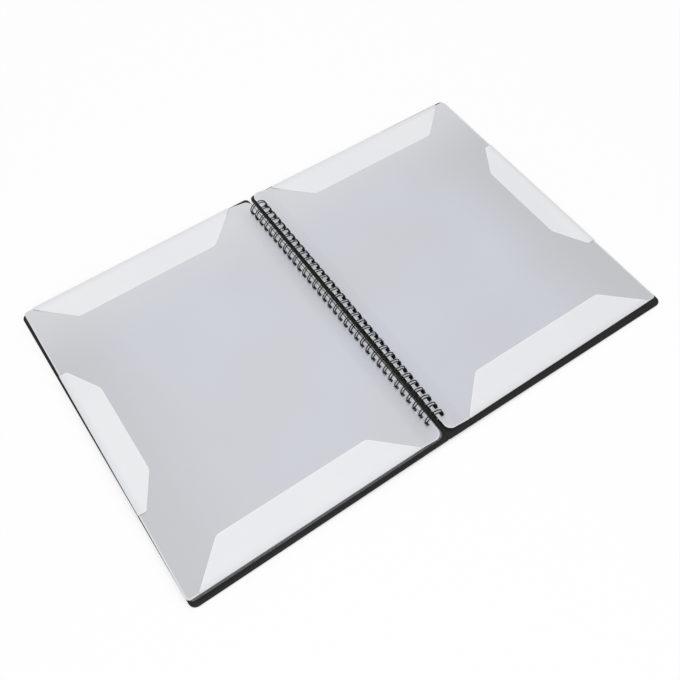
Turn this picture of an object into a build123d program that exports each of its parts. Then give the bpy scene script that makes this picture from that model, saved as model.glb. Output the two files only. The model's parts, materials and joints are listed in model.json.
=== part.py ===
from build123d import *
import math
import os

# Wire-bound display book lying open on a table: two stiff covers, a stack of milky leaves on each side
# and one twin-loop wire through all of them. Each leaf holds a sheet of paper on either face under three
# flaps. X runs across the spread, Y towards the head of the pages, Z up, with the table at Z = 0.

os.makedirs("parts", exist_ok=True)

# Punching and binding wire
hole_pitch = 25.4 / 3
row_margin = 15.0
row_drop = 2.35
hole_clearance = 0.3
wire_size = 1.0
twin_spacing = 2.4
loop_radius = 8.0
loop_flats = 20
seam_gap = 0.6

# Covers
cover_thickness = 1.2
head_overhang = 2.35
foot_overhang = 6.25
fore_overhang = 4.3
cover_corner = 6.0
spine_head_corner = 4.5
spine_foot_corner = 1.2
spine_gap = 0.5
cover_lift = 0.65
crease_inset = 20.0
crease_width = 2.0
crease_depth = 0.4

# Leaves: two plies welded back to back, so a sheet is twice the thickness of its flaps
left_leaves = 5
right_leaves = 1
ply_thickness = 0.2
leaf_width = 236.7
leaf_height = 313.4
leaf_margin = 4.0
leaf_gap = 0.05
spine_corner = 7.0
fore_corner = 3.5

# Flaps, folded in from the head, the foot and the fore edge of each page
flap_gap = 0.05
flap_spine_inset = 22.0
flap_fore_inset = 10.0
flap_depth = 32.5
flap_slant = 32.0
fore_flap_base = 153.0
fore_flap_depth = 25.0
fore_flap_slant = 31.0
flap_tip = 1.5

# Worked-out sizes
cover_height = head_overhang + leaf_height + foot_overhang
cover_reach = leaf_width + fore_overhang
leaf_shift = (foot_overhang - head_overhang) / 2
hole_count = int((leaf_height - 2 * row_margin) / hole_pitch) + 1
hole_row_shift = leaf_shift - row_drop
hole_size = twin_spacing + wire_size + 2 * hole_clearance
loop_outer = loop_radius + wire_size / 2
loop_inner = loop_radius - wire_size / 2
loop_corner = loop_outer / math.cos(math.pi / loop_flats)
axis_height = loop_outer
spine_rise = wire_size + cover_lift
tilt = math.asin(spine_rise / cover_reach)
axis_over_cover = (axis_height - spine_rise) * math.cos(tilt)
axis_behind_spine = (axis_height - spine_rise) * math.sin(tilt)
sheet_thickness = 2 * ply_thickness
page_step = flap_gap + ply_thickness
leaf_thickness = sheet_thickness + 2 * page_step
leaf_pitch = leaf_thickness + leaf_gap
leaf_head = leaf_shift + leaf_height / 2
leaf_foot = leaf_shift - leaf_height / 2

LEFT, RIGHT = -1, 1
EDGES = ("head", "foot", "fore")


def stack_plane(side, height):
    """Plane of one side's stack, which slopes from the spine down to the fore edge on the table."""
    spine = Plane(
        origin=(0, 0, spine_rise),
        x_dir=(math.cos(tilt), 0, -side * math.sin(tilt)),
        z_dir=(side * math.sin(tilt), 0, math.cos(tilt)),
    )
    return spine.offset(height)


def hole_reach(low, high):
    """Distance from the spine to the middle of the wire where it passes a layer between two heights."""
    nearest = math.sqrt(loop_inner**2 - (axis_over_cover - low) ** 2)
    furthest = math.sqrt(loop_corner**2 - (axis_over_cover - high) ** 2)
    return (nearest + furthest) / 2 - axis_behind_spine


def leaf_level(number):
    """Height of a leaf's lower face above the underside of its cover, leaf 1 lying on the cover."""
    return cover_thickness + leaf_gap + (number - 1) * leaf_pitch


def leaf_spine_edge(number):
    """Distance from the spine to the bound edge of a leaf."""
    low = leaf_level(number) + page_step
    return hole_reach(low, low + sheet_thickness) - leaf_margin


def punched_sheet(side, height, thickness, inner, outer, middle, tall, reach, spine_radii, fore_radius):
    """A sheet with the row of square binding holes and rounded corners, at the spine foot first."""
    with BuildPart() as sheet:
        with BuildSketch(stack_plane(side, height)) as outline:
            with Locations((side * (inner + outer) / 2, middle)):
                Rectangle(outer - inner, tall)
            by_fore = outline.vertices().sort_by(Axis.X, reverse=side == RIGHT)
            fillet(by_fore[:2], radius=fore_radius)
            for end, radius in zip((0, -1), spine_radii):
                by_spine = outline.vertices().group_by(Axis.X)[0 if side == RIGHT else -1]
                fillet(by_spine.sort_by(Axis.Y)[end], radius=radius)
            with Locations((side * reach, hole_row_shift)):
                with GridLocations(hole_pitch, hole_pitch, 1, hole_count):
                    Rectangle(hole_size, hole_size, mode=Mode.SUBTRACT)
        extrude(amount=thickness)
    return sheet


def cover(side):
    """A stiff cover with a crease along the binding on its outer face."""
    blank = punched_sheet(
        side,
        0,
        cover_thickness,
        spine_gap / 2,
        cover_reach,
        0,
        cover_height,
        hole_reach(0, cover_thickness),
        (spine_foot_corner, spine_head_corner),
        cover_corner,
    )
    with BuildPart() as creased:
        add(blank.part)
        with BuildSketch(stack_plane(side, 0)):
            with Locations((side * crease_inset, 0)):
                Rectangle(crease_width, cover_height)
        extrude(amount=crease_depth, mode=Mode.SUBTRACT)
    return creased


def leaf_sheet(side, number):
    """The welded double ply of one leaf."""
    low = leaf_level(number) + page_step
    inner = leaf_spine_edge(number)
    return punched_sheet(
        side,
        low,
        sheet_thickness,
        inner,
        inner + leaf_width,
        leaf_shift,
        leaf_height,
        inner + leaf_margin,
        (spine_corner, spine_corner),
        fore_corner,
    )


def flap_outline(edge, inner):
    """Corners of a flap, from one end of its fold round its free edge to the other end."""
    outer = inner + leaf_width
    if edge == "fore":
        low = leaf_shift - fore_flap_base / 2
        high = leaf_shift + fore_flap_base / 2
        free = outer - fore_flap_depth
        return [
            (outer, low),
            (outer - flap_tip, low),
            (free, low + fore_flap_slant),
            (free, high - fore_flap_slant),
            (outer - flap_tip, high),
            (outer, high),
        ]
    start = inner + flap_spine_inset
    end = outer - flap_fore_inset
    fold, inward = (leaf_head, -1) if edge == "head" else (leaf_foot, 1)
    free = fold + inward * flap_depth
    return [
        (start, fold),
        (start, fold + inward * flap_tip),
        (start + flap_slant, free),
        (end - flap_slant, free),
        (end, fold + inward * flap_tip),
        (end, fold),
    ]


def page_flaps(side, number, upper, edges):
    """Flaps lying on the upper or the lower page of a leaf."""
    raised = page_step + sheet_thickness + flap_gap if upper else 0
    plane = stack_plane(side, leaf_level(number) + raised)
    with BuildPart() as flaps:
        for edge in edges:
            corners = [(side * reach, y) for reach, y in flap_outline(edge, leaf_spine_edge(number))]
            with BuildSketch(plane):
                with BuildLine():
                    Polyline(*corners, close=True)
                make_face()
            extrude(amount=ply_thickness)
    return flaps


def loop_profile():
    """Side view of a loop: a ring of flats, open at the seam beside the table."""
    with BuildSketch() as ring:
        with Locations((0, axis_height)):
            RegularPolygon(loop_outer, loop_flats, major_radius=False, rotation=180 / loop_flats)
            RegularPolygon(
                loop_inner, loop_flats, major_radius=False, rotation=180 / loop_flats, mode=Mode.SUBTRACT
            )
        Rectangle(seam_gap, 3 * wire_size, mode=Mode.SUBTRACT)
    return ring.sketch


def seam_profile(side):
    """The end of a loop on one side of the seam, where the wire turns to run along the spine."""
    with BuildSketch() as end:
        add(loop_profile())
        with Locations((side * (seam_gap + wire_size) / 2, 0)):
            Rectangle(wire_size, 3 * wire_size, mode=Mode.INTERSECT)
    return end.sketch


def row_planes(positions):
    """Upright planes across the hole row, at these distances along it."""
    return [Plane.XZ.offset(-hole_row_shift - along) for along in positions]


def finger(bridged):
    """One twin loop: two legs, the tip that joins them and, if bridged, the run to the next loop."""
    with BuildPart() as twin:
        with BuildSketch(*row_planes([-twin_spacing / 2, twin_spacing / 2])):
            add(loop_profile())
        extrude(amount=wire_size / 2, both=True)
        with BuildSketch(*row_planes([0])):
            add(seam_profile(RIGHT))
        extrude(amount=twin_spacing / 2, both=True)
        if bridged:
            with BuildSketch(*row_planes([hole_pitch / 2])):
                add(seam_profile(LEFT))
            extrude(amount=(hole_pitch - twin_spacing) / 2, both=True)
    return twin


def wire_line(loops, step):
    """Points along the middle of the wire, as it is bent from loop to loop."""
    seam_angle = (seam_gap + wire_size) / 2 / loop_radius
    leg = (2 * math.pi - 2 * seam_angle) * loop_radius
    turns = [seam_angle + part * step / loop_radius for part in range(int(leg / step) + 1)]
    bridge = int((hole_pitch - twin_spacing) / step)
    points = []
    for loop in range(loops):
        first = loop * hole_pitch - twin_spacing / 2
        for along, angles in ((first, turns), (first + twin_spacing, turns[::-1])):
            for angle in angles:
                points.append((-loop_radius * math.sin(angle), along, -loop_radius * math.cos(angle)))
        across, along, height = points[-1]
        for part in range(1, bridge):
            points.append((across, along + part * step, height))
    return points


def least_wire_gap(step=0.25, apart=3.0):
    """Least clear distance of the wire from itself, between points well apart along it."""
    points = wire_line(2, step)
    skip = int(apart / step)
    return min(
        math.dist(points[one], points[other])
        for one in range(len(points))
        for other in range(one + skip, len(points))
    ) - wire_size


loop_places = [(number - (hole_count - 1) / 2) * hole_pitch for number in range(hole_count)]

# The binding wire is one length of wire: up one leg of a loop, across its tip, back down the other leg
# and along the seam to the next loop. Its round section is drawn square.
with BuildPart() as binding_wire:
    with Locations(*[(0, along) for along in loop_places[:-1]]):
        add(finger(bridged=True).part)
    with Locations((0, loop_places[-1])):
        add(finger(bridged=False).part)
print(f"least gap of the binding wire to itself: {least_wire_gap():.2f} mm")

pieces = {"binding_wire": binding_wire, "front_cover": cover(LEFT), "back_cover": cover(RIGHT)}
for number in range(1, left_leaves + right_leaves + 1):
    side = LEFT if number <= left_leaves else RIGHT
    place = number if side == LEFT else left_leaves + right_leaves + 1 - number
    pieces[f"leaf_{number}_sheet"] = leaf_sheet(side, place)
    for face in ("front", "back"):
        upper = (face == "back") == (side == LEFT)
        if upper and place == (left_leaves if side == LEFT else right_leaves):
            page = "left_page" if side == LEFT else "right_page"
            for edge in EDGES:
                pieces[f"{page}_{edge}_flap"] = page_flaps(side, place, upper, [edge])
        else:
            pieces[f"leaf_{number}_{face}_flaps"] = page_flaps(side, place, upper, EDGES)

for name, piece in pieces.items():
    piece.part.label = name
    export_step(piece.part, f"parts/{name}.step")
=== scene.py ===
"""Looks of a wire-bound display book that lies open, built round its CAD frame.

Lengths are in metres. Each half of the spread is a stack on its own sloping plane, where u is the distance
from the spine, y runs to the head of the pages and w is the height above the underside of the cover.
"""

import json
import logging
import math
from collections.abc import Callable, Iterator
from contextlib import contextmanager
from dataclasses import dataclass, field, replace
from enum import Enum

import bmesh
import bpy
from mathutils import Matrix, Vector

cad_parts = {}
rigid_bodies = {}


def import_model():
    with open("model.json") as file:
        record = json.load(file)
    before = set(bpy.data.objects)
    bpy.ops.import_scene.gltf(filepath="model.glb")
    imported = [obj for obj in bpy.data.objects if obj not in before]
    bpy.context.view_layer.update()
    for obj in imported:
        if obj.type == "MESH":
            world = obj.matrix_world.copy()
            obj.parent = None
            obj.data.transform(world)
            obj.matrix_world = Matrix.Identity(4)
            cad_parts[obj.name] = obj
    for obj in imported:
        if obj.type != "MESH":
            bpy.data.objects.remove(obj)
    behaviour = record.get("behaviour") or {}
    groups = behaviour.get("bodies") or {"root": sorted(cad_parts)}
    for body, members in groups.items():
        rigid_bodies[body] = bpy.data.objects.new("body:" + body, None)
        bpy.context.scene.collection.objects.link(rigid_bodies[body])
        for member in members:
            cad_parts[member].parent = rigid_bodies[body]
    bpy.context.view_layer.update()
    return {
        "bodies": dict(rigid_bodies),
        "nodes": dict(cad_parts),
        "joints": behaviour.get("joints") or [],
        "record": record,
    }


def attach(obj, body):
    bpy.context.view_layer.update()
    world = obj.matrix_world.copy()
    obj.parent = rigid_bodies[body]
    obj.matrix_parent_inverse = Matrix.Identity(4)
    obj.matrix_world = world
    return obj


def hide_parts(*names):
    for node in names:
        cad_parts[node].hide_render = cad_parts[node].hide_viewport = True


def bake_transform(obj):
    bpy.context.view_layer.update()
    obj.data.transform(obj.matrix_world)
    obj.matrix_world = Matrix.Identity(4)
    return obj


LOG = logging.getLogger("display_book")
MM = 0.001
TOUCHING = 1e-6
FOLD = "fold"
RIM = "rim"
WHITE = (1, 1, 1, 1)
ACROSS = Vector((1, 0, 0))
ALONG = Vector((0, 1, 0))

Piece = bpy.types.Object
Node = bpy.types.Node
Socket = bpy.types.NodeSocket
Tone = tuple[int, int, int]
Colour = tuple[float, float, float, float]
Pair = tuple[float, float]
Point = tuple[float, float, float]
Inputs = dict[str | int, Socket | float | Colour]


class Side(Enum):
    """The half of the spread that a stack lies on."""

    LEFT = -1
    RIGHT = 1


class Edge(Enum):
    """The edge of a page that a flap is folded in from."""

    HEAD = "head"
    FOOT = "foot"
    FORE = "fore"


class Face(Enum):
    """The face of a leaf that a flap lies on, as a direction along w."""

    UPPER = 1
    LOWER = -1


class Element(Enum):
    """What is picked in edit mode."""

    VERT = "verts"
    EDGE = "edges"
    FACE = "faces"


class Bench:
    """The modelling steps that all pieces share."""

    @staticmethod
    def clear() -> None:
        """Leaves edit mode and deselects everything."""
        if bpy.context.mode != "OBJECT":
            bpy.ops.object.mode_set(mode="OBJECT")
        bpy.ops.object.select_all(action="DESELECT")

    @staticmethod
    def take(piece: Piece) -> None:
        """Selects one piece alone and makes it active.

        Args:
            piece: The piece.
        """
        Bench.clear()
        piece.select_set(True)
        bpy.context.view_layer.objects.active = piece

    @staticmethod
    def named(name: str) -> Piece:
        """Names the active object and its data.

        Args:
            name: The new name.

        Returns:
            The object.
        """
        piece = bpy.context.active_object
        piece.name = name
        piece.data.name = name
        return piece

    @staticmethod
    def plate(name: str, low: Pair, high: Pair) -> Piece:
        """Adds a flat plate, with its size and place in its mesh.

        Args:
            name: The plate's name.
            low: Its corner with the lowest x and y.
            high: Its corner with the highest x and y.

        Returns:
            The plate.
        """
        Bench.clear()
        middle = ((low[0] + high[0]) / 2, (low[1] + high[1]) / 2, 0)
        bpy.ops.mesh.primitive_plane_add(size=1, location=middle)
        plate = Bench.named(name)
        plate.scale = (high[0] - low[0], high[1] - low[1], 1)
        bpy.ops.object.transform_apply(location=True, rotation=True, scale=True)
        return plate

    @staticmethod
    @contextmanager
    def editing(piece: Piece) -> Iterator[None]:
        """Holds a piece in edit mode.

        Args:
            piece: The piece to edit.
        """
        Bench.take(piece)
        bpy.ops.object.mode_set(mode="EDIT")
        yield
        bpy.ops.object.mode_set(mode="OBJECT")

    @staticmethod
    def pick(piece: Piece, kind: Element, test: Callable) -> None:
        """Selects what passes a test in edit mode, and nothing else.

        Args:
            piece: The piece that is being edited.
            kind: Whether vertices, edges or faces are picked.
            test: Says of one element whether it is picked.
        """
        bpy.ops.mesh.select_all(action="DESELECT")
        bpy.ops.mesh.select_mode(type=kind.name)
        mesh = bmesh.from_edit_mesh(piece.data)
        for item in [item for item in getattr(mesh, kind.value) if test(item)]:
            item.select_set(True)
        mesh.select_flush_mode()
        bmesh.update_edit_mesh(piece.data)

    @staticmethod
    def press_rim(piece: Piece, width: float) -> None:
        """Insets a flat outline in edit mode and marks its rim as pressed.

        Args:
            piece: The outline that is being edited.
            width: Width of the rim.
        """
        bpy.ops.mesh.select_all(action="SELECT")
        bpy.ops.mesh.inset(thickness=width)
        mesh = bmesh.from_edit_mesh(piece.data)
        layer = mesh.faces.layers.int.new(RIM)
        for face in mesh.faces:
            face[layer] = 0 if face.select else 1
        bmesh.update_edit_mesh(piece.data)

    @staticmethod
    def cut(direction: Vector, *places: float, whole: bool = True) -> None:
        """Cuts a piece in edit mode along parallel planes.

        Args:
            direction: The planes' normal.
            *places: Their distances from the origin.
            whole: Whether all of the piece is cut, or only what is selected.
        """
        for place in places:
            if whole:
                bpy.ops.mesh.select_all(action="SELECT")
            bpy.ops.mesh.bisect(plane_co=place * direction, plane_no=direction)

    @staticmethod
    def weld() -> None:
        """Selects all that is being edited and merges the vertices that lie together."""
        bpy.ops.mesh.select_all(action="SELECT")
        bpy.ops.mesh.remove_doubles(threshold=TOUCHING)

    @staticmethod
    def apply(piece: Piece, kind: str, **settings: object) -> None:
        """Adds a modifier to a piece and applies it.

        Args:
            piece: The piece.
            kind: The modifier's type.
            **settings: The modifier's own settings.
        """
        modifier = piece.modifiers.new(kind.lower(), kind)
        for key, value in settings.items():
            setattr(modifier, key, value)
        Bench.take(piece)
        bpy.ops.object.modifier_apply(modifier=modifier.name)

    @staticmethod
    def join(name: str, pieces: list[Piece]) -> Piece:
        """Joins pieces into one mesh.

        Args:
            name: The name of the joined piece.
            pieces: The pieces, of which the first takes in the rest.

        Returns:
            The joined piece.
        """
        Bench.take(pieces[0])
        for piece in pieces[1:]:
            piece.select_set(True)
        if len(pieces) > 1:
            bpy.ops.object.join()
        return Bench.named(name)

    @staticmethod
    def place(piece: Piece, matrix: Matrix) -> None:
        """Moves a closed mesh to its place and turns its faces outwards.

        Args:
            piece: The piece, whose object stays at the origin.
            matrix: From the piece's own axes to the frame.
        """
        piece.data.transform(matrix)
        with Bench.editing(piece):
            bpy.ops.mesh.select_all(action="SELECT")
            bpy.ops.mesh.normals_make_consistent(inside=False)

    @staticmethod
    def smooth(piece: Piece, degrees: float) -> None:
        """Shades a piece smooth, except at edges that are sharper than an angle."""
        Bench.take(piece)
        bpy.ops.object.shade_smooth_by_angle(angle=math.radians(degrees))


@dataclass
class Wiring:
    """A node tree that is being put together."""

    tree: bpy.types.NodeTree  # the tree of a material, a world or a node group

    @classmethod
    def of(cls, holder: bpy.types.Material | bpy.types.World) -> "Wiring":
        """Turns on the nodes of a material or a world."""
        holder.use_nodes = True
        return cls(holder.node_tree)

    @classmethod
    def group(cls, name: str, inputs: dict[str, float], output: str) -> "Wiring":
        """Starts a node group that works on a place and puts out one value.

        Args:
            name: The group's name.
            inputs: Its number sockets and what they hold at first.
            output: Its output.

        Returns:
            The group, with its own input and output nodes.
        """
        tree = bpy.data.node_groups.new(name, "ShaderNodeTree")
        tree.interface.new_socket("Place", in_out="INPUT", socket_type="NodeSocketVector")
        for key, value in inputs.items():
            socket = tree.interface.new_socket(key, in_out="INPUT", socket_type="NodeSocketFloat")
            socket.default_value = value
        tree.interface.new_socket(output, in_out="OUTPUT", socket_type="NodeSocketFloat")
        tree.nodes.new("NodeGroupInput")
        tree.nodes.new("NodeGroupOutput")
        return cls(tree)

    def feed(self, node: Node, inputs: Inputs) -> None:
        """Gives a node's sockets what they take.

        Args:
            node: The node.
            inputs: For each socket, the output that it is linked to or the value that it holds.
        """
        for key, source in inputs.items():
            if isinstance(source, Socket):
                self.tree.links.new(source, node.inputs[key])
            else:
                node.inputs[key].default_value = source

    def add(self, kind: str, inputs: Inputs, **settings: object) -> Node:
        """Adds a node.

        Args:
            kind: The node's type, without its ShaderNode prefix.
            inputs: What its sockets take.
            **settings: The node's own settings.

        Returns:
            The node.
        """
        node = self.tree.nodes.new("ShaderNode" + kind)
        for key, value in settings.items():
            setattr(node, key, value)
        self.feed(node, inputs)
        return node

    def math(self, operation: str, *values: Socket | float, clamp: bool = False) -> Socket:
        """Works out a sum of values, held within 0 to 1 if it is clamped."""
        node = self.add("Math", dict(enumerate(values)), operation=operation, use_clamp=clamp)
        return node.outputs[0]

    def mix(self, factor: Socket, first: Socket | Colour, second: Socket | Colour) -> Socket:
        """Blends two colours by a value, where 0 gives the first."""
        blend = self.add("Mix", {"Factor": factor, "A": first, "B": second}, data_type="RGBA")
        return blend.outputs["Result"]

    def ramp(self, value: Socket, start: Pair = (0, 1), end: Pair = (0, 1), kind: str = "LINEAR") -> Socket:
        """Maps a value from one range onto another.

        Args:
            value: The value.
            start: The range that it comes from.
            end: The range that it goes to.
            kind: How it goes from one end to the other.

        Returns:
            The mapped value.
        """
        ends = {"From Min": start[0], "From Max": start[1], "To Min": end[0], "To Max": end[1]}
        return self.add("MapRange", {"Value": value, **ends}, interpolation_type=kind).outputs["Result"]


def linear(tone: Tone) -> Colour:
    """Turns a colour as a screen shows it into one that a shader takes.

    Args:
        tone: Red, green and blue from 0 to 255.

    Returns:
        The colour in linear light, with an alpha of 1.
    """
    parts = [part / 255 for part in tone]
    made = [part / 12.92 if part <= 0.04045 else ((part + 0.055) / 1.055) ** 2.4 for part in parts]
    return made[0], made[1], made[2], 1.0


@dataclass
class SurfaceEffects:
    """The node groups that more than one finish uses, built once."""

    cloud_middle: float = 0.5  # the value that clouds come and go about
    dust_share: float = 0.35  # height of the finest grain beside that of the pebbles

    def __post_init__(self) -> None:
        """Builds the groups."""
        self.mottle = self._mottle()
        self.grain = self._grain()

    def _mottle(self) -> bpy.types.NodeTree:
        """Builds broad, soft clouds, as in milky film and moulded sheet.

        Returns:
            The group, which puts out Cloud.
        """
        group = Wiring.group("soft_mottle", {"Scale": 8.0, "Contrast": 1.6}, "Cloud")
        given = group.tree.nodes["Group Input"].outputs
        noise = group.add(
            "TexNoise", {"Vector": given["Place"], "Scale": given["Scale"], "Detail": 1.5, "Roughness": 0.45}
        )
        centred = group.math("SUBTRACT", noise.outputs["Fac"], self.cloud_middle)
        cloud = group.math("MULTIPLY_ADD", centred, given["Contrast"], self.cloud_middle, clamp=True)
        group.feed(group.tree.nodes["Group Output"], {"Cloud": cloud})
        return group.tree

    def _grain(self) -> bpy.types.NodeTree:
        """Builds fine pebbled grain, as an embossing roll leaves in plastic.

        Returns:
            The group, which puts out Height.
        """
        group = Wiring.group("pebble_grain", {"Scale": 2000.0, "Fine": 6000.0}, "Height")
        given = group.tree.nodes["Group Input"].outputs
        pebbles = group.add(
            "TexVoronoi", {"Vector": given["Place"], "Scale": given["Scale"]}, feature="SMOOTH_F1"
        )
        dust = group.add(
            "TexNoise", {"Vector": given["Place"], "Scale": given["Fine"], "Detail": 2.0, "Roughness": 0.5}
        )
        height = group.math("MULTIPLY_ADD", dust.outputs["Fac"], self.dust_share, pebbles.outputs["Distance"])
        group.feed(group.tree.nodes["Group Output"], {"Height": height})
        return group.tree


@dataclass(frozen=True)
class Finish:
    """A plastic finish: two close tones in soft clouds, under a fine grain."""

    name: str
    first: Tone  # the darker of the two
    second: Tone
    cloud_scale: float = 60.0  # clouds per metre
    roughness: Pair = (0.30, 0.40)  # the lowest and the highest roughness
    grain_scale: float = 2600.0  # pebbles per metre
    grain_depth: float = 1e-5  # how deep the grain is
    wave_depth: float = 0.0  # how deep the broad waves of the sheet are
    gloss: float = 0.5  # strength of its reflections, where 0.5 is that of plain plastic
    fineness: float = 3.0  # how much finer the dust is than the pebbles

    def layers(self, nodes: Wiring, place: Socket) -> list[tuple[Socket, Tone]]:
        """Masks, which may read the place on the surface, and the tones that they lay over the clouds."""
        return []

    def material(self, effects: SurfaceEffects) -> bpy.types.Material:
        """Builds the material.

        Args:
            effects: The shared node groups.

        Returns:
            The material.
        """
        material = bpy.data.materials.new(self.name)
        nodes = Wiring.of(material)
        place = nodes.add("TexCoord", {}).outputs["Object"]
        mottle = nodes.add("Group", {"Place": place, "Scale": self.cloud_scale}, node_tree=effects.mottle)
        cloud = mottle.outputs["Cloud"]
        sizes = {"Scale": self.grain_scale, "Fine": self.fineness * self.grain_scale}
        grain = nodes.add("Group", {"Place": place, **sizes}, node_tree=effects.grain)
        relief = {"Distance": self.grain_depth, "Height": grain.outputs["Height"]}
        if self.wave_depth:
            wave = nodes.add("Bump", {"Distance": self.wave_depth, "Height": cloud})
            relief["Normal"] = wave.outputs["Normal"]
        colour = nodes.mix(cloud, linear(self.first), linear(self.second))
        for mask, tone in self.layers(nodes, place):
            colour = nodes.mix(mask, colour, linear(tone))
        looks = {
            "Base Color": colour,
            "Roughness": nodes.ramp(cloud, end=self.roughness),
            "Specular IOR Level": self.gloss,
            "Normal": nodes.add("Bump", relief).outputs["Normal"],
        }
        nodes.feed(nodes.tree.nodes["Principled BSDF"], looks)
        return material


@dataclass(frozen=True)
class PageFinish(Finish):
    """Milky film, with painted shade towards the fore edge and painted light at the head."""

    # Painted shade towards the fore edge, and painted light at the head
    fore_shade_tone: Tone = (190, 192, 196)
    # Distances from the spine where the painted shade begins and where it is darkest
    fore_shade_range: Pair = (150 * MM, 232 * MM)
    head_light_tone: Tone = (207, 208, 212)
    head_light_range: Pair = (70 * MM, 165 * MM)  # places along y where the painted light begins and where it is strongest

    def layers(self, nodes: Wiring, place: Socket) -> list[tuple[Socket, Tone]]:
        """Gives the painted shade of the fore edge and the painted light of the head.

        Args:
            nodes: The material's nodes.
            place: The place on the surface.

        Returns:
            Their masks and the tones.
        """
        parts = nodes.add("SeparateXYZ", {0: place}).outputs
        # Painted shade towards the fore edge; painted light towards the head
        fore_shade_mask = nodes.ramp(nodes.math("ABSOLUTE", parts["X"]), self.fore_shade_range, kind="SMOOTHSTEP")
        head_light_mask = nodes.ramp(parts["Y"], self.head_light_range, kind="SMOOTHSTEP")
        return [(fore_shade_mask, self.fore_shade_tone), (head_light_mask, self.head_light_tone)]


@dataclass(frozen=True)
class FoldedFinish(Finish):
    """Film with painted shade where it bends over a fold, by the mesh's own measure of the fold."""

    bend_shade_tone: Tone = (216, 218, 221)  # the painted shade where the film begins to turn down
    bend_shade_range: Pair = (0, 0.5)  # the measure where the painted shade begins and where it reaches that tone
    nose_shade_tone: Tone = (112, 114, 118)  # the darker painted shade at the outside of the fold
    nose_shade_range: Pair = (0.6, 1)  # the measure where the darker painted shade begins and where it is darkest

    def layers(self, nodes: Wiring, place: Socket) -> list[tuple[Socket, Tone]]:
        """Gives the painted shade of the bend and the nose.

        Args:
            nodes: The material's nodes.
            place: The place on the surface.

        Returns:
            Their masks and the tones.
        """
        fold = nodes.add("Attribute", {}, attribute_name=FOLD).outputs["Fac"]
        # Painted shade: grey where the film turns down, dark at the outside of the fold
        bend = nodes.ramp(fold, self.bend_shade_range)
        nose = nodes.ramp(fold, self.nose_shade_range)
        return [(bend, self.bend_shade_tone), (nose, self.nose_shade_tone)]


FILM = {"roughness": (0.36, 0.46), "grain_depth": 2e-5}
# Darker painted shade on the folds of covered flaps, for the shaded side of the stack, partly the black cover
# seen through the film
COVERED = {"bend_shade_tone": (120, 122, 126), "nose_shade_tone": (62, 63, 66)}
PAGE_FILM = PageFinish(
    "page_film", (194, 196, 200), (200, 203, 213), cloud_scale=9.0, wave_depth=0.6 * MM, **FILM
)
PAGE_RIM = Finish("page_rim", (210, 211, 214), (217, 218, 220))
# Open flaps: their folds get the painted shade of FoldedFinish
FLAP_FILM = FoldedFinish(
    "flap_film", (224, 225, 228), (230, 231, 233), cloud_scale=11.0, wave_depth=0.5 * MM, **FILM
)
FLAP_RIM = FoldedFinish("flap_rim", (234, 235, 237), (240, 240, 242))
# Painted shade: covered leaves get a dark rim and sides for the shaded side of the stack, partly the black
# cover seen through the film
SHADED_COVERED_EDGE = Finish("covered_edge", (96, 97, 100), (104, 105, 108))
COVERED_FLAP = replace(FLAP_FILM, name="covered_flap", **COVERED)
COVERED_RIM = replace(FLAP_RIM, name="covered_rim", **COVERED)
COVER_BOARD = Finish(
    "cover_board",
    (24, 24, 24),
    (31, 31, 30),
    cloud_scale=14.0,
    roughness=(0.42, 0.56),
    grain_scale=1500.0,
    grain_depth=6e-5,
    wave_depth=0.2 * MM,
    gloss=0.16,
)
WIRE_COATING = Finish(
    "wire_coating",
    (12, 12, 13),
    (18, 18, 19),
    cloud_scale=90.0,
    roughness=(0.34, 0.46),
    grain_scale=3500.0,
    grain_depth=1.2e-5,
    gloss=0.18,
)


class FinishBook:
    """The materials of the book, each made once."""

    def __init__(self) -> None:
        """Starts the book with no material made."""
        self._effects = SurfaceEffects()
        self._made: dict[str, bpy.types.Material] = {}

    def material(self, finish: Finish) -> bpy.types.Material:
        """Gives the material of a finish.

        Args:
            finish: The finish.

        Returns:
            Its material.
        """
        if finish.name not in self._made:
            self._made[finish.name] = finish.material(self._effects)
        return self._made[finish.name]

    def dress(self, piece: Piece, *finishes: Finish) -> None:
        """Gives a piece its materials.

        Args:
            piece: The piece.
            *finishes: Its finish, and that of its pressed rim.
        """
        for finish in finishes:
            piece.data.materials.append(self.material(finish))
        if RIM in piece.data.attributes:
            for polygon, mark in zip(piece.data.polygons, piece.data.attributes[RIM].data):
                polygon.material_index = mark.value


@dataclass(frozen=True)
class Skew:
    """How far the edges of a sheet are out of square, as shares of their lengths."""

    fore: float = 0.0  # how far the fore edge slants in towards the head
    head: float = 0.0  # how far the head edge falls towards the spine
    foot: float = 0.0  # how far the foot edge falls towards the spine


@dataclass
class Extent:
    """The room that a sheet takes on its stack."""

    inner: float  # least distance from the spine
    outer: float  # greatest distance from the spine
    foot: float  # lowest y
    head: float  # highest y
    low: float  # least height
    high: float  # greatest height
    skew: Skew = Skew()  # how far its edges are out of square

    @property
    def level(self) -> float:
        """Height of the middle of the sheet."""
        return (self.low + self.high) / 2

    @property
    def thickness(self) -> float:
        """Thickness of the sheet."""
        return self.high - self.low

    def fore(self, along: float) -> float:
        """Distance of the fore edge from the spine at a place along y."""
        return self.outer - self.skew.fore * along

    def top(self, reach: float) -> float:
        """Place of the head edge along y at a distance from the spine."""
        return self.head - self.skew.head * (self.outer - reach)

    def bottom(self, reach: float) -> float:
        """Place of the foot edge along y at a distance from the spine."""
        return self.foot - self.skew.foot * (self.outer - reach)


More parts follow.
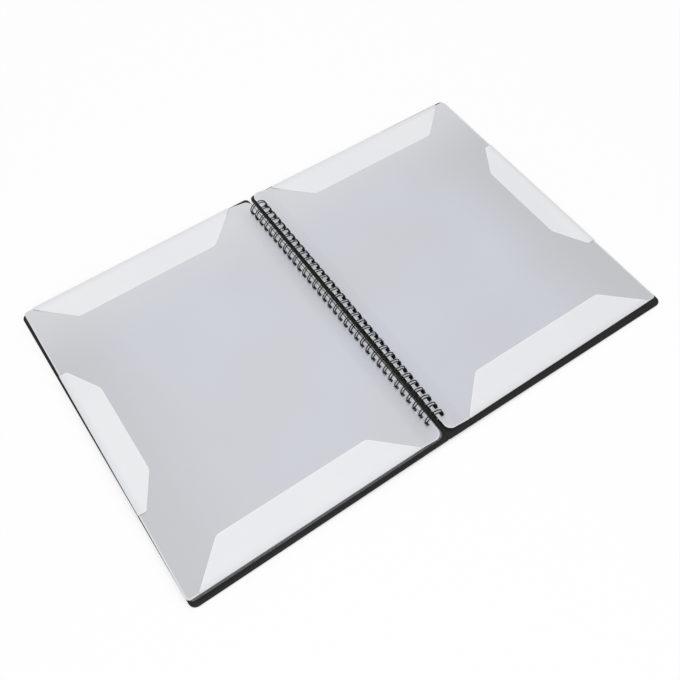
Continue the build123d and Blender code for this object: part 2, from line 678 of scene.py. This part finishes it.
@dataclass
class StackPlane:
    """The sloping plane of one half of the spread."""

    side: Side  # which half it is
    rise: float = 1.65 * MM  # height of the underside of the cover at the spine
    reach: float = 241 * MM  # distance from the spine to where the cover meets the table

    @property
    def matrix(self) -> Matrix:
        """From u, y and w to the frame."""
        sine = self.rise / self.reach
        cosine = math.sqrt(1 - sine * sine)
        turn = self.side.value
        across, up = (turn * cosine, 0, turn * sine, 0), (-sine, 0, cosine, self.rise)
        return Matrix((across, (0, 1, 0, 0), up, (0, 0, 0, 1)))

    def measure(self, node: Piece) -> Extent:
        """Measures a CAD node on this plane.

        Args:
            node: The node's object.

        Returns:
            The room that it takes.
        """
        back = self.matrix.inverted()
        points = [back @ vertex.co for vertex in node.data.vertices]
        ranges = [(min(values), max(values)) for values in zip(*points)]
        return Extent(*ranges[0], *ranges[1], *ranges[2])


@dataclass
class HoleRow:
    """The row of square holes that the wire goes through."""

    count: int = 34
    pitch: float = 25.4 / 3 * MM  # distance from hole to hole
    across: float = 3.2 * MM  # width of a hole, across the row
    along: float = 4 * MM  # length of a hole, along the row
    shift: float = -0.4 * MM  # place of the middle of the row along y
    half_band: float = 3 * MM  # half the width of the band that holds the row

    @property
    def foot(self) -> float:
        """Lower end of the band."""
        return self.shift - self.count * self.pitch / 2

    @property
    def head(self) -> float:
        """Upper end of the band."""
        return self.shift + self.count * self.pitch / 2

    @property
    def first(self) -> float:
        """Place of the first hole along y."""
        return self.foot + self.pitch / 2

    def repeat(self, piece: Piece, near: float) -> None:
        """Repeats a piece from hole to hole.

        Args:
            piece: The piece, at the first hole.
            near: How near two vertices of neighbours have to be to become one.
        """
        Bench.apply(
            piece,
            "ARRAY",
            count=self.count,
            use_relative_offset=False,
            use_constant_offset=True,
            constant_offset_displace=self.pitch * ALONG,
            use_merge_vertices=True,
            merge_threshold=near,
        )

    def band(self, reach: float) -> Piece:
        """Models one hole in its frame and repeats it along the row.

        Args:
            reach: Distance from the spine to the middle of the row.

        Returns:
            The flat band.
        """
        half = self.pitch / 2
        band = Bench.plate("hole_band", (reach - half, self.foot), (reach + half, self.foot + self.pitch))
        with Bench.editing(band):
            bpy.ops.mesh.select_all(action="SELECT")
            bpy.ops.mesh.inset(thickness=(self.pitch - self.along) / 2)
            middle = (reach, self.foot + half, 0)
            bpy.ops.transform.resize(value=(self.across / self.along, 1, 1), center_override=middle)
            bpy.ops.mesh.delete(type="FACE")
            for way in (-1, 1):
                border = reach + way * half
                Bench.pick(band, Element.VERT, lambda vert: abs(vert.co.x - border) < TOUCHING)
                bpy.ops.transform.translate(value=(way * (self.half_band - half), 0, 0))
        self.repeat(band, TOUCHING)
        return band


@dataclass
class PunchedSheet:
    """A flat sheet with rounded corners and the row of binding holes."""

    row: HoleRow
    spine_corners: Pair = (7 * MM, 7 * MM)  # radii of the corners at the spine, at the foot and at the head
    fore_corner: float = 3.5 * MM  # radius of the corners at the fore edge
    corner_steps: int = 10  # segments of a rounded corner
    edge_round: float = 0.06 * MM  # radius of the rounded edges
    edge_steps: int = 2  # segments of a rounded edge
    sharp: float = 50.0  # the least turn of an edge that is rounded, in degrees
    soft: float = 35.0  # the greatest turn that is shaded smooth, in degrees

    def blank(self, name: str, room: Extent) -> Piece:
        """Models the flat outline with its round corners.

        Args:
            name: The sheet's name.
            room: The room that the sheet takes.

        Returns:
            The outline, filled by one face.
        """
        blank = Bench.plate(name, (room.inner, room.foot), (room.outer, room.head))
        for vertex in blank.data.vertices:
            if vertex.co.x > room.inner + TOUCHING:
                vertex.co.x = room.fore(vertex.co.y)
            elif vertex.co.y > room.foot + TOUCHING:
                vertex.co.y = room.top(room.inner)
            else:
                vertex.co.y = room.bottom(room.inner)
        with Bench.editing(blank):
            for x, y, radius in (
                (room.inner, room.bottom(room.inner), self.spine_corners[0]),
                (room.inner, room.top(room.inner), self.spine_corners[1]),
                (room.fore(room.foot), room.foot, self.fore_corner),
                (room.fore(room.head), room.head, self.fore_corner),
            ):
                corner = Vector((x, y, 0))
                Bench.pick(blank, Element.VERT, lambda vert: (vert.co - corner).length < TOUCHING)
                bpy.ops.mesh.bevel(offset=radius, segments=self.corner_steps, affect="VERTICES")
        return blank

    def punch(self, blank: Piece, reach: float) -> Piece:
        """Sets the band of holes into the flat outline.

        Args:
            blank: The flat outline.
            reach: Distance from the spine to the holes.

        Returns:
            The punched outline.
        """
        row = self.row
        borders = (reach - row.half_band, reach + row.half_band)

        def in_band(face: bmesh.types.BMFace) -> bool:
            """Whether a face lies between the borders of the band."""
            return borders[0] < face.calc_center_median().x < borders[1]

        def in_row(face: bmesh.types.BMFace) -> bool:
            """Whether a face makes way for the row."""
            return in_band(face) and row.foot < face.calc_center_median().y < row.head

        def beside_row(edge: bmesh.types.BMEdge) -> bool:
            """Whether an edge lies on a border, beside the row."""
            ends = [vert.co for vert in edge.verts]
            off = min(abs(ends[0].x - border) + abs(ends[1].x - border) for border in borders)
            return off < TOUCHING and all(row.foot - TOUCHING < end.y < row.head + TOUCHING for end in ends)

        with Bench.editing(blank):
            Bench.cut(ACROSS, *borders)
            for end in (row.foot, row.head):
                Bench.pick(blank, Element.FACE, in_band)
                Bench.cut(ALONG, end, whole=False)
            Bench.pick(blank, Element.FACE, in_row)
            bpy.ops.mesh.delete(type="FACE")
            Bench.pick(blank, Element.EDGE, beside_row)
            bpy.ops.mesh.subdivide(number_cuts=row.count - 1)
        sheet = Bench.join(blank.name, [blank, row.band(reach)])
        with Bench.editing(sheet):
            Bench.weld()
        return sheet

    def thicken(self, sheet: Piece, room: Extent) -> None:
        """Gives the flat outline its thickness, at its height on the stack."""
        sheet.data.transform(Matrix.Translation((0, 0, room.level)))
        Bench.apply(sheet, "SOLIDIFY", thickness=room.thickness, offset=0.0)

    def round_edges(self, sheet: Piece) -> None:
        """Rounds the edges of the sheet and of its holes.

        Args:
            sheet: The sheet.
        """
        settings = {"limit_method": "ANGLE", "angle_limit": math.radians(self.sharp)}
        Bench.apply(sheet, "BEVEL", width=self.edge_round, segments=self.edge_steps, **settings)
        Bench.smooth(sheet, self.soft)


@dataclass
class Cover(PunchedSheet):
    """A stiff black cover with a crease along the binding on its outer face."""

    spine_corners: Pair = (1.2 * MM, 4.5 * MM)
    fore_corner: float = 6 * MM
    edge_round: float = 0.25 * MM
    reach: float = 4.72 * MM  # distance from the spine to the holes
    crease: float = 20 * MM  # distance from the spine to the middle of the crease
    crease_width: float = 2 * MM
    crease_depth: float = 0.4 * MM
    # Where the crease is scored, as shares of half its width
    crease_lines: tuple[float, ...] = (-1, -0.6, 0, 0.6, 1)
    crease_bed: float = 0.8  # how much of its width is pressed in
    gap: float = 0.05 * MM  # distance from the spine to its bound edge
    askew: float = 0.0  # how far it is turned about its corner at the spine and the foot, in degrees

    def build(self, name: str, room: Extent, place: Matrix) -> Piece:
        """Models the cover.

        Args:
            name: The piece's name.
            room: The room that its CAD node takes.
            place: From u, y and w to the frame.

        Returns:
            The piece.
        """
        room = replace(room, inner=self.gap)
        half = self.crease_width / 2
        blank = self.blank(name, room)
        with Bench.editing(blank):
            Bench.cut(ACROSS, *(self.crease + half * part for part in self.crease_lines))
        cover = self.punch(blank, self.reach)
        self.thicken(cover, room)
        with Bench.editing(cover):
            Bench.pick(
                cover,
                Element.VERT,
                lambda vert: abs(vert.co.x - self.crease) < self.crease_bed * half and vert.co.z < room.level,
            )
            bpy.ops.transform.translate(value=(0, 0, self.crease_depth))
        self.round_edges(cover)
        corner = Matrix.Translation((room.inner, room.foot, 0))
        turn = Matrix.Rotation(math.radians(self.askew), 4, "Z")
        Bench.place(cover, place @ corner @ turn @ corner.inverted())
        return cover


@dataclass
class LeafSheet(PunchedSheet):
    """The sheet of a leaf: two plies of film welded back to back.

    Away from the spine the flaps hold the leaves apart. Beside it the leaves ride close together on the wire,
    so each sheet comes down or goes up there.
    """

    loop: Pair = (8.4 * MM, 7.6 * MM)  # half the width and half the height of the wire's loops
    axis: float = 6.85 * MM  # height of the middle of the loops above the underside of the cover
    margin: float = 4.7 * MM  # distance from its bound edge to the middle of the holes
    rim: float = 1.2 * MM  # width of the rim that is pressed round its outline
    # Where the slope beside the binding begins and ends, as distances from the spine
    slope: Pair = (8 * MM, 24 * MM)
    slope_steps: int = 10

    def bend(self, leaf: Piece, climb: float) -> None:
        """Brings the sheet up or down beside the spine.

        Args:
            leaf: The flat sheet.
            climb: How far it goes up at the spine.
        """
        start, end = self.slope
        steps = range(self.slope_steps + 1)
        with Bench.editing(leaf):
            Bench.cut(ACROSS, *(start + (end - start) * step / self.slope_steps for step in steps))
        for vertex in leaf.data.vertices:
            part = min(max((vertex.co.x - start) / (end - start), 0), 1)
            vertex.co.z += climb * (1 - part * part * (3 - 2 * part))

    def build(self, name: str, page: Extent, spine_level: float, place: Matrix) -> Piece:
        """Models the sheet.

        Args:
            name: The piece's name.
            page: The room that the leaf takes away from the spine.
            spine_level: Height of the middle of the sheet at the spine.
            place: From u, y and w to the frame.

        Returns:
            The piece.
        """
        width, height = self.loop
        reach = width * math.sqrt(1 - ((self.axis - spine_level) / height) ** 2)
        room = replace(page, inner=reach - self.margin)
        blank = self.blank(name, room)
        with Bench.editing(blank):
            Bench.press_rim(blank, self.rim)
        leaf = self.punch(blank, reach)
        self.bend(leaf, spine_level - room.level)
        self.thicken(leaf, room)
        self.round_edges(leaf)
        Bench.place(leaf, place)
        return leaf


@dataclass
class FlapShape:
    """A flap in its own axes: x along the fold, y inwards from it, z up from the page."""

    base: float  # length of the fold
    depth: float  # distance from the fold to the free edge
    slant: float  # how much shorter the free edge is at each end
    roll: float  # radius of the fold, at the middle of the film
    tip: float = 1.5 * MM  # height of the straight ends beside the fold
    ply: float = 0.2 * MM  # thickness of the film
    corner: float = 2.4 * MM  # radius of the free corners
    corner_steps: int = 6
    straight: float = 1.0  # the least turn that counts as a corner, in degrees
    rim: float = 0.6 * MM  # width of the pressed rim
    rows: int = 12  # cuts along the fold
    row_growth: float = 1.5  # how the rows widen away from the fold, as a power
    columns: int = 22  # cuts across the flap
    fold_steps: int = 8
    settle: float = 7 * MM  # distance from the fold over which the film comes down to the page
    gap: float = 0.01 * MM  # gap between a flat flap and the page
    fold_shade_reach: float = 9.0  # distance from the fold over which its painted shade fades out, as a share of the roll
    soft: float = 40.0  # the greatest turn that is shaded smooth, in degrees

    @property
    def centre(self) -> float:
        """Height of the centre of the fold."""
        return self.roll - self.ply / 2

    def outline(self, name: str) -> Piece:
        """Models the flat flap with its rim.

        Args:
            name: The flap's name.

        Returns:
            The flat flap.
        """
        half = self.base / 2
        flap = Bench.plate(name, (-half, 0), (half, self.tip))
        with Bench.editing(flap):
            Bench.pick(flap, Element.EDGE, lambda edge: min(vert.co.y for vert in edge.verts) > self.tip / 2)
            move = {"value": (0, self.depth - self.tip, 0)}
            bpy.ops.mesh.extrude_edges_move(TRANSFORM_OT_translate=move)
            shrink = (half - self.slant) / half
            bpy.ops.transform.resize(value=(shrink, 1, 1), center_override=(0, self.depth, 0))
            bpy.ops.mesh.select_all(action="SELECT")
            bpy.ops.mesh.dissolve_limited(angle_limit=math.radians(self.straight))
            Bench.pick(flap, Element.VERT, lambda vert: vert.co.y > self.depth - TOUCHING)
            bpy.ops.mesh.bevel(offset=self.corner, segments=self.corner_steps, affect="VERTICES")
            Bench.press_rim(flap, self.rim)
            shares = [number / self.rows for number in range(1, self.rows)]
            Bench.cut(ALONG, *(self.depth * share**self.row_growth for share in shares))
            shares = [number / self.columns for number in range(1, self.columns)]
            Bench.cut(ACROSS, *(self.base * (share - 0.5) for share in shares))
        return flap

    def height(self, inward: float) -> float:
        """Gives the height of the middle of the film above the page.

        Args:
            inward: Distance from the fold.

        Returns:
            The height.
        """
        bulge = math.exp(-((inward / self.settle) ** 2))
        at_fold = 2 * self.roll - self.ply / 2
        return bulge * at_fold + (1 - bulge) * (self.gap + self.ply / 2)

    def build(self, name: str) -> Piece:
        """Models the flap with its rolled fold.

        Args:
            name: The flap's name.

        Returns:
            The flap, in its own axes.
        """
        flap = self.outline(name)
        for vertex in flap.data.vertices:
            vertex.co.z = self.height(vertex.co.y)
        with Bench.editing(flap):
            Bench.pick(flap, Element.EDGE, lambda edge: max(vert.co.y for vert in edge.verts) < TOUCHING)
            centre = (0, 0, self.centre)
            bpy.ops.mesh.spin(steps=self.fold_steps, angle=-math.pi, center=centre, axis=ACROSS)
            Bench.weld()
            bpy.ops.mesh.normals_make_consistent(inside=False)
        self.mark_fold(flap)
        Bench.apply(flap, "SOLIDIFY", thickness=self.ply, offset=0.0)
        Bench.smooth(flap, self.soft)
        return flap

    def mark_fold(self, flap: Piece) -> None:
        """Measures the fold over the flap, the mask of its painted shade: 0 where it lies flat, 0.5 at the
        fold, 1 at its outside.

        Args:
            flap: The flap, before it has its thickness.
        """
        measure = flap.data.attributes.new(FOLD, "FLOAT", "POINT")
        for vertex in flap.data.vertices:
            if vertex.co.y > TOUCHING:
                value = 0.5 * math.exp(-((vertex.co.y / (self.fold_shade_reach * self.roll)) ** 2))
            elif vertex.co.z > self.centre:
                value = 0.5 - 0.5 * vertex.co.y / self.roll
            else:
                value = 1.0
            measure.data[vertex.index].value = value


@dataclass
class PageFlaps:
    """The three flaps of one page, folded in from its head, foot and fore edge."""

    place: Matrix  # from u, y and w to the frame
    page: Extent  # the room that the leaf's sheet takes
    face: Face  # the face of the leaf that they lie on
    roll: float = 0.125 * MM  # radius of the folds
    spine_inset: float = 22 * MM  # distance from the bound edge to the head and foot flaps
    fore_inset: float = 10 * MM  # distance from the fore edge to the head and foot flaps
    depth: float = 32.5 * MM  # depth of the head and foot flaps
    slant: float = 32 * MM  # slant of their ends
    fore_base: float = 153 * MM  # length of the fore flap's fold
    fore_depth: float = 25 * MM  # depth of the fore flap
    fore_slant: float = 31 * MM  # slant of its ends
    fore_tip: float = 7 * MM  # height of its straight ends beside the fold
    hinge_reach: float = 5 * MM  # distance from a fold to the inner point that hinge gives

    def shape(self, edge: Edge) -> FlapShape:
        """Gives the shape of one flap.

        Args:
            edge: The edge that it is folded in from.

        Returns:
            The shape.
        """
        if edge is Edge.FORE:
            return FlapShape(self.fore_base, self.fore_depth, self.fore_slant, self.roll, self.fore_tip)
        base = self.page.outer - self.page.inner - self.spine_inset - self.fore_inset
        return FlapShape(base, self.depth, self.slant, self.roll)

    def seat(self, edge: Edge) -> Matrix:
        """Gives the place of one flap on its stack.

        Args:
            edge: The edge that it is folded in from.

        Returns:
            From the flap's own axes to u, y and w.
        """
        page, skew = self.page, self.page.skew
        level = page.high if self.face is Face.UPPER else page.low
        middle = (page.inner + self.spine_inset + page.outer - self.fore_inset) / 2
        half_way = (page.foot + page.head) / 2
        along, inward, start = {
            Edge.HEAD: ((1, skew.head), (skew.head, -1), (middle, page.top(middle))),
            Edge.FOOT: ((1, skew.foot), (-skew.foot, 1), (middle, page.bottom(middle))),
            Edge.FORE: ((-skew.fore, 1), (-1, -skew.fore), (page.fore(half_way), half_way)),
        }[edge]
        axes = ((*along, 0, 0), (*inward, 0, 0), (0, 0, self.face.value, 0), (*start, level, 1))
        return Matrix(axes).transposed()

    def build(self, name: str, edges: list[Edge]) -> Piece:
        """Models flaps as one piece.

        Args:
            name: The piece's name.
            edges: The edges that they are folded in from.

        Returns:
            The piece.
        """
        made = []
        for edge in edges:
            flap = self.shape(edge).build(f"{name}_{edge.value}")
            flap.data.transform(self.seat(edge))
            made.append(flap)
        flaps = Bench.join(name, made)
        Bench.place(flaps, self.place)
        return flaps

    def hinge(self, edge: Edge) -> tuple[Vector, Vector]:
        """Gives a point outside a fold and one hinge_reach in from it."""
        seat = self.place @ self.seat(edge)
        return seat @ Vector((0, -self.roll, 0)), seat @ Vector((0, self.hinge_reach, 0))


@dataclass
class BindingWire:
    """The twin-loop wire: one length of coated wire, bent into a row of double loops."""

    row: HoleRow  # the holes that it goes through
    axis: Vector  # a point on the axis of the loops
    radius: float = 8 * MM  # radius of a loop, at the middle of the wire
    thickness: float = 1 * MM  # diameter of the wire
    spacing: float = 2.4 * MM  # distance between the two legs of a loop
    bend: float = 1.2 * MM  # radius of the small bends beside the seam
    seam: float = math.radians(17)  # angle from the lowest point of a loop to where its legs end
    sides: int = 12  # sides of the wire's section
    ring_steps: int = 40  # segments of a leg
    bend_steps: int = 4  # segments of a quarter bend
    oval: Pair = (1.05, 0.95)  # how much wider and lower the loops are than round ones
    near: float = 10 * TOUCHING  # how near the ends of neighbouring loops meet
    soft: float = 50.0  # the greatest turn that is shaded smooth, in degrees

    def radial(self, angle: float) -> Vector:
        """Direction out of a loop, at an angle from its lowest point, over the left page first."""
        return Vector((-math.sin(angle), 0, -math.cos(angle)))

    def point(self, angle: float, along: float) -> Vector:
        """A point on the middle of the wire, at an angle round a loop and a place along y."""
        return Vector((self.axis.x, along, self.axis.z)) + self.radius * self.radial(angle)

    @staticmethod
    def turn(center: Vector, axis: Vector, angle: float, steps: int) -> None:
        """Carries the selected end of the wire round a bend, by the right-hand rule."""
        bpy.ops.mesh.spin(steps=steps, angle=-angle, center=center, axis=axis)

    def finger(self) -> Piece:
        """Models one twin loop and the run to the next.

        Returns:
            The open tube.
        """
        first = self.row.first - self.spacing / 2
        second = self.row.first + self.spacing / 2
        sweep = math.tau - 2 * self.seam
        tip = math.tau - self.seam
        quarter = math.pi / 2
        loop = Vector((self.axis.x, 0, self.axis.z))
        outwards = -self.radial(self.seam)
        Bench.clear()
        bpy.ops.mesh.primitive_circle_add(
            vertices=self.sides,
            radius=self.thickness / 2,
            location=self.point(self.seam, first),
            rotation=(0, self.seam - quarter, 0),
        )
        finger = Bench.named("wire_loops")
        bpy.ops.object.transform_apply(location=True, rotation=True, scale=True)
        with Bench.editing(finger):
            bpy.ops.mesh.select_mode(type="EDGE")
            bpy.ops.mesh.select_all(action="SELECT")
            self.turn(loop, ALONG, sweep, self.ring_steps)
            self.turn(self.point(tip, self.row.first), self.radial(tip), math.pi, 2 * self.bend_steps)
            self.turn(loop, ALONG, -sweep, self.ring_steps)
            self.turn(self.point(self.seam, second + self.bend), outwards, quarter, self.bend_steps)
            run = self.row.pitch - self.spacing - 2 * self.bend
            bpy.ops.mesh.extrude_edges_move(TRANSFORM_OT_translate={"value": (0, run, 0)})
            last = first + self.row.pitch - self.bend
            self.turn(self.point(self.seam, last), outwards, quarter, self.bend_steps)
            Bench.weld()
        return finger

    def build(self) -> Piece:
        """Models the wire.

        Returns:
            The piece.
        """
        wire = self.finger()
        self.row.repeat(wire, self.near)
        last_leg = self.row.head - self.row.pitch / 2 + self.spacing / 2
        end = last_leg + self.thickness / 2 + TOUCHING
        with Bench.editing(wire):
            Bench.pick(wire, Element.FACE, lambda face: face.calc_center_median().y > end)
            bpy.ops.mesh.delete(type="FACE")
            for low in (True, False):
                Bench.pick(
                    wire, Element.EDGE, lambda edge: edge.is_boundary and low == (edge.verts[0].co.y < 0)
                )
                bpy.ops.mesh.edge_face_add()
        centre = Matrix.Translation((self.axis.x, 0, self.axis.z))
        oval = Matrix.Diagonal((self.oval[0], 1, self.oval[1], 1))
        Bench.place(wire, centre @ oval @ centre.inverted())
        Bench.smooth(wire, self.soft)
        return wire


@dataclass
class Leaf:
    """A leaf of the book."""

    number: int  # its number from the front cover
    side: Side  # the half of the spread that it lies on
    spine_level: float  # height of its sheet above the underside of the cover at the spine
    open_face: Face | None = None  # the face whose flaps can be lifted, or None if other leaves cover both
    slide: float = 0.0  # how far it has slid outwards on the wire
    skew: Skew = Skew()  # how far its edges are out of square
    foot_drop: float = 0.0  # how far its foot stands out of the stack
    head_drop: float = 0.0  # how far its head stands back
    rim: float = 0.35 * MM

    @classmethod
    def on_left(cls, number: int, open_face: Face | None = None, **settings: float) -> "Leaf":
        """Gives a leaf of the left stack, which leans a little on the wire.

        Args:
            number: Its number from the front cover.
            open_face: The face whose flaps can be lifted.
            **settings: What else differs from a plain leaf.

        Returns:
            The leaf.
        """
        above = (number - 1) * MM
        return cls(
            number,
            Side.LEFT,
            spine_level=1.45 * MM + 0.45 * above,
            open_face=open_face,
            slide=-0.5 * MM if open_face else -0.3 * number * MM,
            skew=Skew(fore=0.0055, head=0.0055),
            foot_drop=2.3 * MM - 0.2 * above,
            head_drop=0.8 * MM,
            **settings,
        )

    @property
    def body(self) -> str:
        """The body that it moves with."""
        return f"leaf_{self.number}_body"

    @property
    def plane(self) -> StackPlane:
        """The stack that it lies on."""
        return StackPlane(self.side)

    def room(self, node: Piece) -> Extent:
        """Gives the room that the leaf takes, from that of its CAD node.

        Args:
            node: The node's object.

        Returns:
            The room.
        """
        plain = self.plane.measure(node)
        return replace(
            plain,
            inner=plain.inner + self.slide,
            outer=plain.outer + self.slide,
            foot=plain.foot - self.foot_drop,
            head=plain.head - self.head_drop,
            skew=self.skew,
        )

    def fixed_flaps(self) -> list[tuple[str, Face]]:
        """Lists the covered pages.

        Returns:
            The node of each page's flaps and the face that they lie on.
        """
        pages = ("back", "front") if self.side is Side.LEFT else ("front", "back")
        nodes = [(f"leaf_{self.number}_{page}_flaps", face) for page, face in zip(pages, Face)]
        return [(node, face) for node, face in nodes if face is not self.open_face]


@dataclass
class DisplayBook:
    """The whole book, piece by piece, each on the CAD body that carries it, except the open flaps, which are
    left on no body.
    """

    frame: dict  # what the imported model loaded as
    finishes: FinishBook
    row: HoleRow = field(default_factory=HoleRow)
    # The leaves from front to back
    leaves: list[Leaf] = field(
        default_factory=lambda: [
            *(Leaf.on_left(number) for number in range(1, 5)),
            Leaf.on_left(5, Face.UPPER, rim=1.2 * MM),
            Leaf(
                6,
                Side.RIGHT,
                spine_level=4.3 * MM,
                open_face=Face.UPPER,
                slide=2.1 * MM,
                skew=Skew(fore=-0.003, head=-0.0065, foot=0.0045),
                head_drop=0.5 * MM,
                rim=1.2 * MM,
            ),
        ]
    )
    fold_roll: float = 0.4 * MM  # radius of the folds of flaps that nothing lies on
    askew: Pair = (-0.25, -0.2)  # how far the front and the back cover are turned on the wire, in degrees

    def keep(
        self, piece: Piece, node: str, body: str, hinge: tuple[str, Vector, Vector] | None = None
    ) -> None:
        """Puts a piece in the place of its CAD node.

        Args:
            piece: The piece.
            node: The node that it stands for.
            body: The body that it moves with.
            hinge: The body that carries the flap, and the start and end of a stretch beside its fold; not
                used beyond whether it is given, and a piece that has one is left on no body.
        """
        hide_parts(node)
        if hinge is None:
            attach(piece, body)
        else:
            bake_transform(piece)
        LOG.info("%s stands for %s on %s: %d faces", piece.name, node, body, len(piece.data.polygons))

    def build_wire(self) -> None:
        """Builds the binding wire."""
        turn = next(joint for joint in self.frame["joints"] if joint["name"] == "leaf_1_turn")
        wire = BindingWire(self.row, Vector(turn["pos_m"])).build()
        self.finishes.dress(wire, WIRE_COATING)
        self.keep(wire, "binding_wire", "wire_body")

    def build_covers(self) -> None:
        """Builds both covers."""
        for side, node, askew in zip(Side, ("front_cover", "back_cover"), self.askew):
            plane = StackPlane(side)
            room = plane.measure(self.frame["nodes"][node])
            cover = Cover(self.row, askew=askew).build(f"{node}_board", room, plane.matrix)
            self.finishes.dress(cover, COVER_BOARD)
            self.keep(cover, node, f"{node}_body")

    def build_leaf(self, leaf: Leaf) -> None:
        """Builds a leaf and its flaps.

        Args:
            leaf: The leaf.
        """
        node = f"leaf_{leaf.number}_sheet"
        place = leaf.plane.matrix
        page = leaf.room(self.frame["nodes"][node])
        shape = LeafSheet(self.row, rim=leaf.rim)
        sheet = shape.build(f"leaf_{leaf.number}_film", page, leaf.spine_level, place)
        # Covered leaves get a dark rim of painted shade
        self.finishes.dress(sheet, PAGE_FILM, PAGE_RIM if leaf.open_face else SHADED_COVERED_EDGE)
        self.keep(sheet, node, leaf.body)
        for node, face in leaf.fixed_flaps():
            flaps = PageFlaps(place, page, face).build(f"{node}_film", list(Edge))
            # Covered flaps take the darker painted fold shade
            self.finishes.dress(flaps, COVERED_FLAP, COVERED_RIM)
            self.keep(flaps, node, leaf.body)
        if leaf.open_face is None:
            return
        shaped = PageFlaps(place, page, leaf.open_face, self.fold_roll)
        for edge in Edge:
            node = f"{leaf.side.name.lower()}_page_{edge.value}_flap"
            flap = shaped.build(f"{node}_film", [edge])
            self.finishes.dress(flap, FLAP_FILM, FLAP_RIM)
            self.keep(flap, node, f"{node}_body", (leaf.body, *shaped.hinge(edge)))

    def build(self) -> None:
        """Builds every piece."""
        self.build_wire()
        self.build_covers()
        for leaf in self.leaves:
            self.build_leaf(leaf)


@dataclass(frozen=True)
class SoftBox:
    """A square lamp over the table."""

    name: str
    place: Point
    target: Point
    size: float  # side of its face
    power: float  # its power in watts

    def hang(self) -> None:
        """Adds the lamp."""
        Bench.clear()
        bpy.ops.object.light_add(type="AREA", location=self.place)
        lamp = Bench.named(self.name)
        lamp.data.size = self.size
        lamp.data.energy = self.power
        lamp.rotation_euler = (Vector(self.target) - Vector(self.place)).to_track_quat("-Z", "Y").to_euler()


@dataclass
class Studio:
    """The table, the light and the camera."""

    floor_reach: float = 6.0  # half the side of the floor
    floor_drop: float = 0.05 * MM  # how far it lies below the table, so that faces don't meet
    floor_colour: Colour = (0.92, 0.92, 0.92, 1)
    floor_roughness: float = 0.9
    floor_glow: float = 0.88  # share of the floor's white that soft shadows don't take away
    shadow_reach: float = 12 * MM  # distance over which what stands on the floor darkens it
    shadow_samples: int = 8
    ambient: float = 0.55  # strength of the even light from all round
    lamps: tuple[SoftBox, ...] = (
        SoftBox("soft_box_front", (-0.35, -0.7, 1.4), (-0.05, -0.05, 0), size=1.0, power=9.5),
        SoftBox("soft_box_back", (0.3, 0.9, 1.5), (0, 0, 0), size=1.4, power=7.5),
    )
    camera_place: Point = (-0.22957, -0.37089, 0.63256)
    heading: float = 31.66  # its direction over the floor, clockwise from +Y, in degrees
    dip: float = 57.52  # how far it looks down, in degrees
    roll: float = -2.93  # its turn about its own line of sight, in degrees
    focal_pixels: float = 845.0  # its focal length in pixels of the picture
    picture: int = 680  # width and height of the picture, in pixels
    nearest: float = 10 * MM  # least distance that the camera sees

    @staticmethod
    def seen_directly(nodes: Wiring) -> Socket:
        """Tells rays that show the surroundings from rays that light the object.

        Args:
            nodes: The nodes of a material or a world.

        Returns:
            1 for a ray from the camera, a reflection or a clear surface, and 0 for others.
        """
        rays = nodes.add("LightPath", {}).outputs
        mirrored = nodes.math("ADD", rays["Is Camera Ray"], rays["Is Glossy Ray"], clamp=True)
        return nodes.math("ADD", mirrored, rays["Is Transmission Ray"], clamp=True)

    def build_floor(self) -> None:
        """Lays the pale floor."""
        side = self.floor_reach
        floor = Bench.plate("floor", (-side, -side), (side, side))
        floor.data.transform(Matrix.Translation((0, 0, -self.floor_drop)))
        material = bpy.data.materials.new("floor_white")
        nodes = Wiring.of(material)
        shader = nodes.tree.nodes["Principled BSDF"]
        nodes.feed(shader, {"Base Color": self.floor_colour, "Roughness": self.floor_roughness})
        nodes.feed(shader, {"Specular IOR Level": 0.0})
        reach = {"Distance": self.shadow_reach}
        open_sky = nodes.add("AmbientOcclusion", reach, samples=self.shadow_samples)
        glow = nodes.ramp(open_sky.outputs["AO"], end=(0, self.floor_glow))
        share = nodes.math("MULTIPLY", self.seen_directly(nodes), glow)
        white = nodes.add("Emission", {})
        blend = nodes.add("MixShader", {0: share, 1: shader.outputs[0], 2: white.outputs[0]})
        nodes.feed(nodes.tree.nodes["Material Output"], {"Surface": blend.outputs[0]})
        floor.data.materials.append(material)

    def build_world(self) -> None:
        """Sets the even light, and the white that is seen round the floor."""
        world = bpy.data.worlds.new("studio")
        nodes = Wiring.of(world)
        even = nodes.tree.nodes["Background"]
        nodes.feed(even, {"Color": WHITE, "Strength": self.ambient})
        white = nodes.add("Background", {"Color": WHITE})
        shown = self.seen_directly(nodes)
        blend = nodes.add("MixShader", {0: shown, 1: even.outputs[0], 2: white.outputs[0]})
        nodes.feed(nodes.tree.nodes["World Output"], {"Surface": blend.outputs[0]})
        bpy.context.scene.world = world

    def build_camera(self) -> None:
        """Stands the camera where it sees the book as pictured."""
        turn = (
            Matrix.Rotation(-math.radians(self.heading), 4, "Z")
            @ Matrix.Rotation(math.radians(90 - self.dip), 4, "X")
            @ Matrix.Rotation(math.radians(self.roll), 4, "Z")
        )
        Bench.clear()
        bpy.ops.object.camera_add()
        camera = Bench.named("camera")
        camera.matrix_world = Matrix.Translation(self.camera_place) @ turn
        camera.data.sensor_fit = "HORIZONTAL"
        camera.data.lens = self.focal_pixels / self.picture * camera.data.sensor_width
        camera.data.clip_start = self.nearest
        bpy.context.scene.camera = camera

    def build(self) -> None:
        """Builds the surroundings."""
        self.build_floor()
        self.build_world()
        for lamp in self.lamps:
            lamp.hang()
        self.build_camera()
        bpy.context.scene.view_settings.view_transform = "Standard"


def main() -> None:
    """Builds the book round its frame, then the studio."""
    logging.basicConfig(level=logging.INFO, format="%(message)s")
    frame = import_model()
    DisplayBook(frame, FinishBook()).build()
    Studio().build()
    Bench.clear()


if __name__ == "__main__":
    main()
